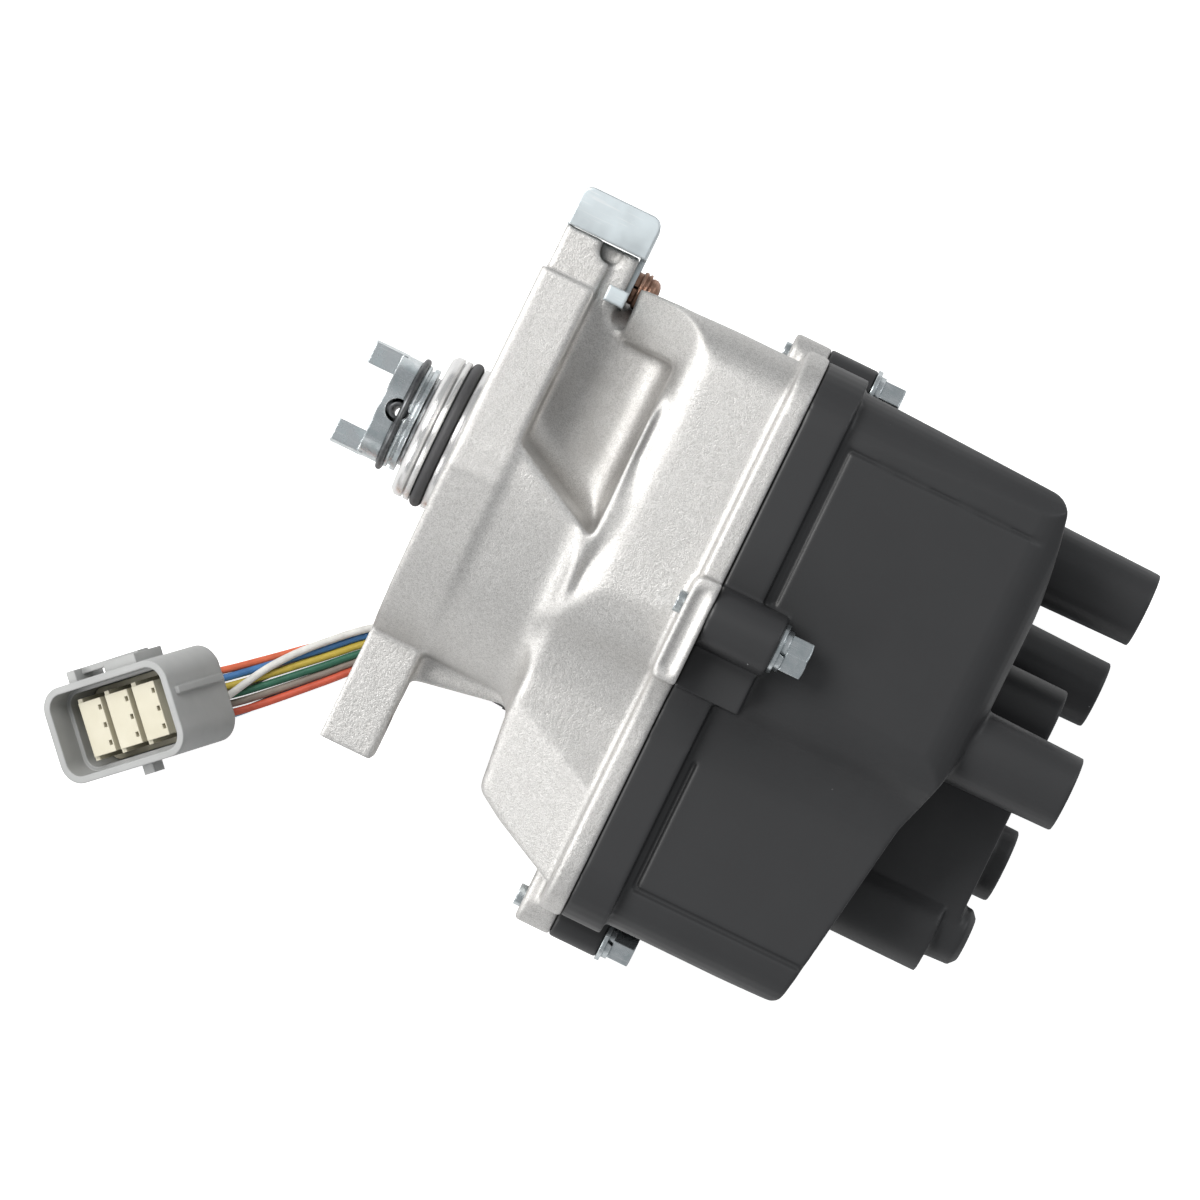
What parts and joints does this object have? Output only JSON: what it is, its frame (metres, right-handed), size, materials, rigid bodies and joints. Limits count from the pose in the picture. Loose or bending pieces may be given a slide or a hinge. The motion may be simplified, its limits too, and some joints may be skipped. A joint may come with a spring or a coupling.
{
  "type": "ignition distributor",
  "caption": "Ignition distributor with a cast housing, black cap with lead towers, built-in coil, drive coupling and pigtail lead.",
  "frame": {"origin": "on the shaft axis, in the plane of the flange's engine-side face, at the root of the spigot", "axes": "+X along the shaft towards the lead towers, +Y towards the harness bracket, +Z towards the side with the middle cap bolt"},
  "size_m": [0.2101, 0.1662, 0.1087],
  "materials": {
    "cast_aluminium": "sand-cast, light grain, machined faces",
    "rubber": "satin",
    "brass": "turned",
    "bronze": "sintered",
    "steel": "turned and ground",
    "dark_steel": "oiled",
    "zinc_steel": "bright zinc",
    "copper_steel": "copper plated",
    "black_plastic": "satin moulded",
    "carbon": "pressed carbon",
    "grey_plastic": "satin moulded",
    "cream_plastic": "satin moulded",
    "lead_orange": "extruded insulation",
    "lead_blue": "extruded insulation",
    "lead_yellow": "extruded insulation",
    "lead_green": "extruded insulation",
    "lead_grey": "extruded insulation",
    "lead_red": "extruded insulation",
    "lead_white": "extruded insulation",
    "lead_cream": "extruded insulation",
    "lead_sky": "extruded insulation"
  },
  "bodies": {
    "body": {"housing": "cast_aluminium", "nose_o_ring": "rubber", "nose_bush": "bronze", "oil_seal": "rubber", "bearing_outer_ring": "steel", "bearing_retainer": "zinc_steel", "retainer_screws": "zinc_steel", "crank_pickup": "black_plastic", "top_centre_pickup": "black_plastic", "cylinder_pickup": "black_plastic", "dust_shield": "black_plastic", "igniter_module": "black_plastic", "igniter_screws": "zinc_steel", "ignition_coil": "black_plastic", "coil_core": "dark_steel", "coil_screws": "zinc_steel", "cap_seal": "rubber", "distributor_cap": "black_plastic", "tower_terminals": "brass", "centre_electrode": "brass", "coil_terminal": "brass", "brush_spring": "steel", "cap_bolts": "zinc_steel", "cap_spring_washers": "zinc_steel", "cap_flat_washers": "zinc_steel", "harness_bracket": "zinc_steel", "bracket_screw": "copper_steel", "bracket_spring_washer": "copper_steel", "lead_grommet": "rubber", "lead_orange": "lead_orange", "lead_blue": "lead_blue", "lead_yellow": "lead_yellow", "lead_green": "lead_green", "lead_grey": "lead_grey", "lead_red": "lead_red", "lead_white": "lead_white", "lead_cream": "lead_cream", "lead_sky": "lead_sky", "plug_shell": "grey_plastic", "plug_insert": "cream_plastic", "plug_holder": "grey_plastic"},
    "shaft_group": {"shaft": "steel", "thrust_washer": "dark_steel", "coupling_pin": "steel", "bearing_inner_ring": "steel", "crank_wheel": "dark_steel", "top_centre_wheel": "dark_steel", "cylinder_wheel": "dark_steel", "rotor": "black_plastic", "rotor_blade": "brass", "rotor_screw": "zinc_steel"},
    "coupling_group": {"drive_coupling": "steel", "coupling_spring_ring": "dark_steel"},
    "ball_group": {"bearing_balls": "steel", "bearing_cage": "bronze"},
    "brush": {"carbon_brush": "carbon"}
  },
  "joints": [
    {"name": "shaft_spin", "type": "hinge", "parent": "body", "child": "shaft_group", "pos_m": [0, 0, 0], "axis": [1, 0, 0], "continuous": true},
    {"name": "coupling_float", "type": "hinge", "parent": "shaft_group", "child": "coupling_group", "pos_m": [-0.0156, 0, 0], "axis": [0, 0, 1], "range_deg": [-1.5, 1.5]},
    {"name": "ball_roll", "type": "hinge", "parent": "body", "child": "ball_group", "pos_m": [0.026, 0, 0], "axis": [1, 0, 0], "continuous": true},
    {"name": "brush_slide", "type": "slide", "parent": "body", "child": "brush", "axis": [1, 0, 0], "range_m": [0, 0.0025], "stiffness_N_per_m": 100, "springref_m": -0.003, "deforming": ["brush_spring"]}
  ],
  "couplings": [
    {"joint": "ball_roll", "follows": "shaft_spin", "ratio": 0.39}
  ]
}
